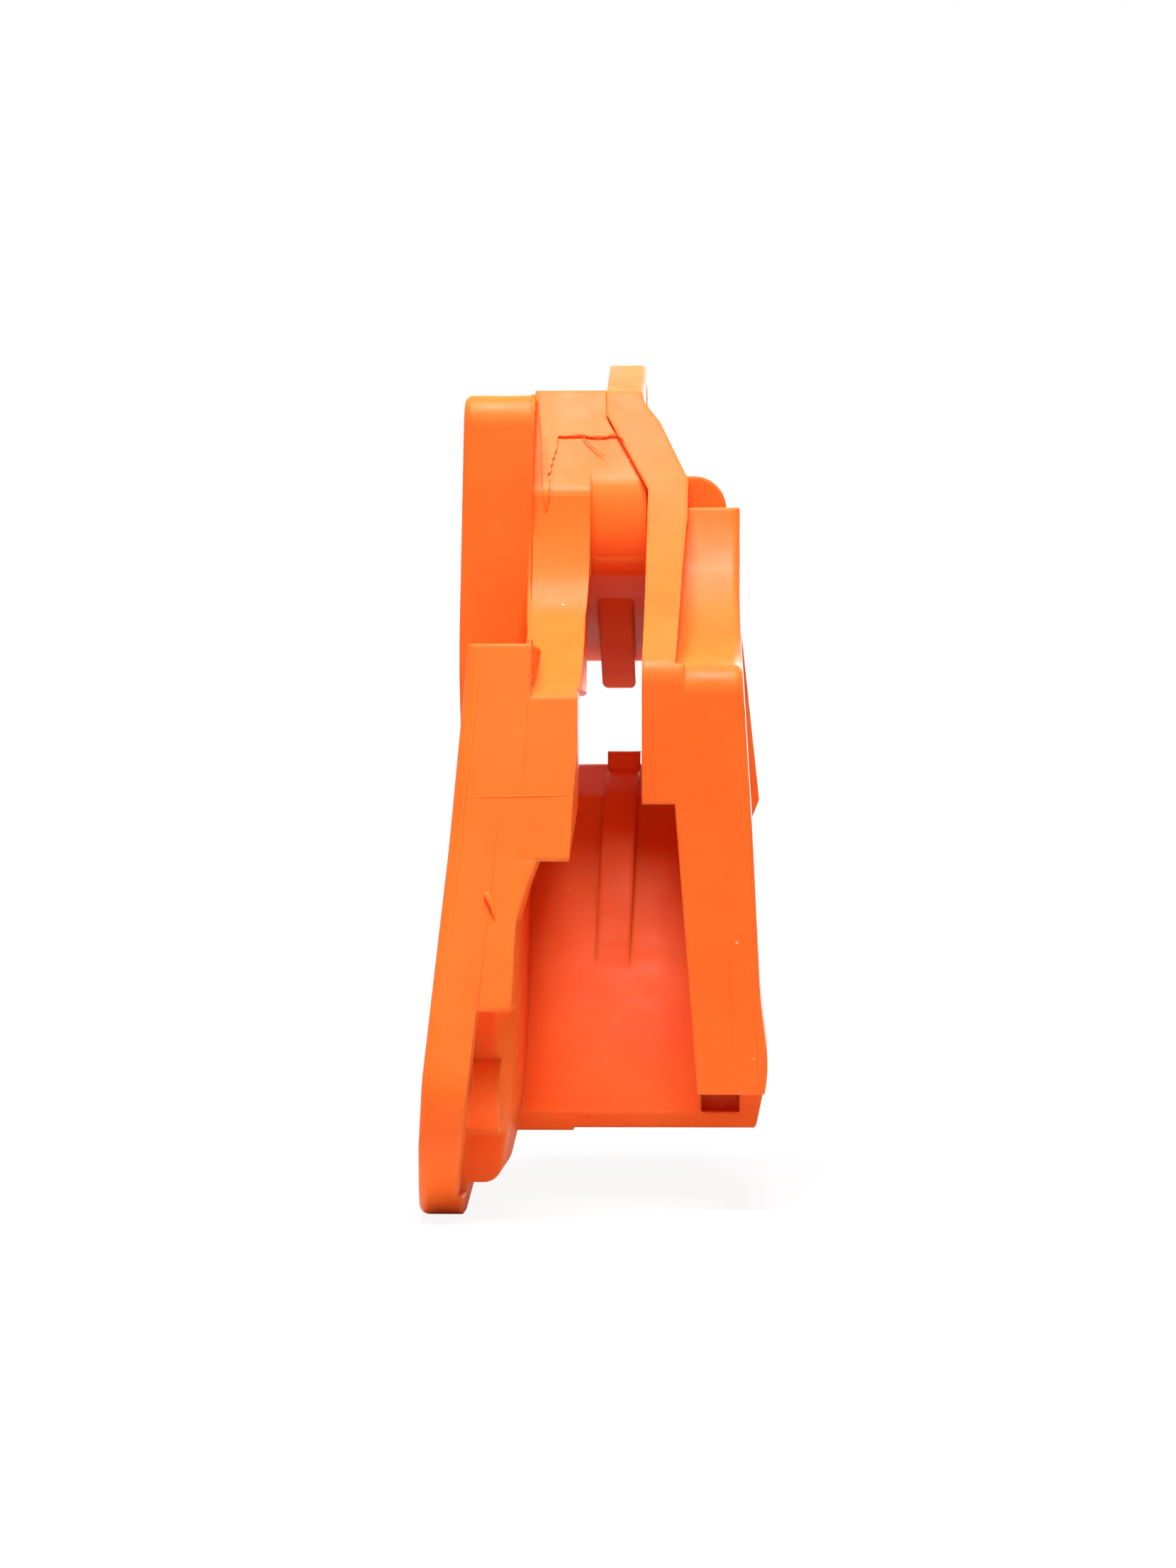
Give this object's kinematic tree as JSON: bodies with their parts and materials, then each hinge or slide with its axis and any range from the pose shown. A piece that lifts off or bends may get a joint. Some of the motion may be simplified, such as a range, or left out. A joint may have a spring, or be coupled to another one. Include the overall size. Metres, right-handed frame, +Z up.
{
  "type": "motorcycle chain guide",
  "caption": "Cast plastic chain guide with a tapering channel, a ribbed ramp floor, a sprocket slot between inward lips, two legs and a bolt ear.",
  "frame": {"origin": "axis of the upper bolt hole, on the middle plane of the chain", "axes": "+X across the chain along the bolt axes, +Y forward along the bike, +Z up as pictured"},
  "size_m": [0.0503, 0.1083, 0.1264],
  "materials": {
    "cast_plastic": "satin orange cast polyurethane, slightly translucent at thin edges"
  },
  "bodies": {
    "root": {"guide_body": "cast_plastic"}
  },
  "joints": []
}
